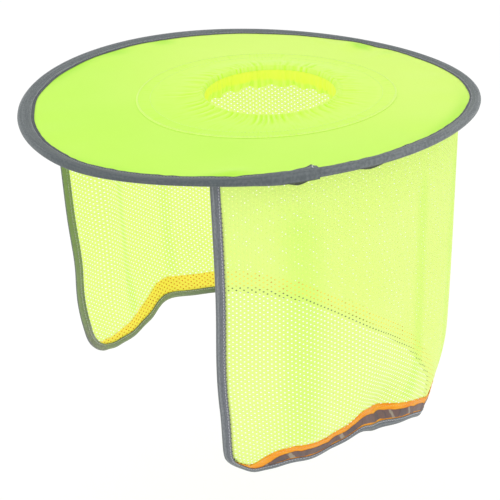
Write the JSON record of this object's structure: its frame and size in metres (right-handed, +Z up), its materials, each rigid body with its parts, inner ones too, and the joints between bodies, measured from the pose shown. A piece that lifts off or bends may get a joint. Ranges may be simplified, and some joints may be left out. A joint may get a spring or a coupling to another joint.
{
  "type": "hard hat sun shade",
  "caption": "Full-brim sun shade for a hard hat: hooped cloth brim, gathered elastic crown opening, mesh neck flap with bound edges and a reflective hem.",
  "frame": {"origin": "centre of the crown opening, at the height of the brim cloth", "axes": "+Z up out of the crown, the open face side looks along -Y, +X to the wearer's left"},
  "size_m": [0.3999, 0.3999, 0.312],
  "materials": {
    "brim_cloth": "fluorescent yellow-green coated polyester, plain weave, soft matt",
    "casing_cloth": "the same cloth folded over the elastic and ruffled",
    "mesh_cloth": "knitted polyester mesh with staggered holes",
    "binding_tape": "grey woven binding tape, faint ribs",
    "orange_tape": "fluorescent orange woven tape",
    "reflective_film": "grey retroreflective film, satin",
    "spring_steel": "flat spring steel, satin",
    "elastic": "woven white elastic"
  },
  "bodies": {
    "root": {"spring_hoop": "spring_steel", "hoop_sleeve": "spring_steel", "hoop_binding": "binding_tape", "brim_panel": "brim_cloth", "crown_panel": "brim_cloth", "crown_casing": "casing_cloth", "crown_elastic": "elastic", "flap_mesh": "mesh_cloth", "flap_binding": "binding_tape", "hem_tape": "orange_tape", "reflective_strip": "reflective_film"}
  },
  "joints": []
}
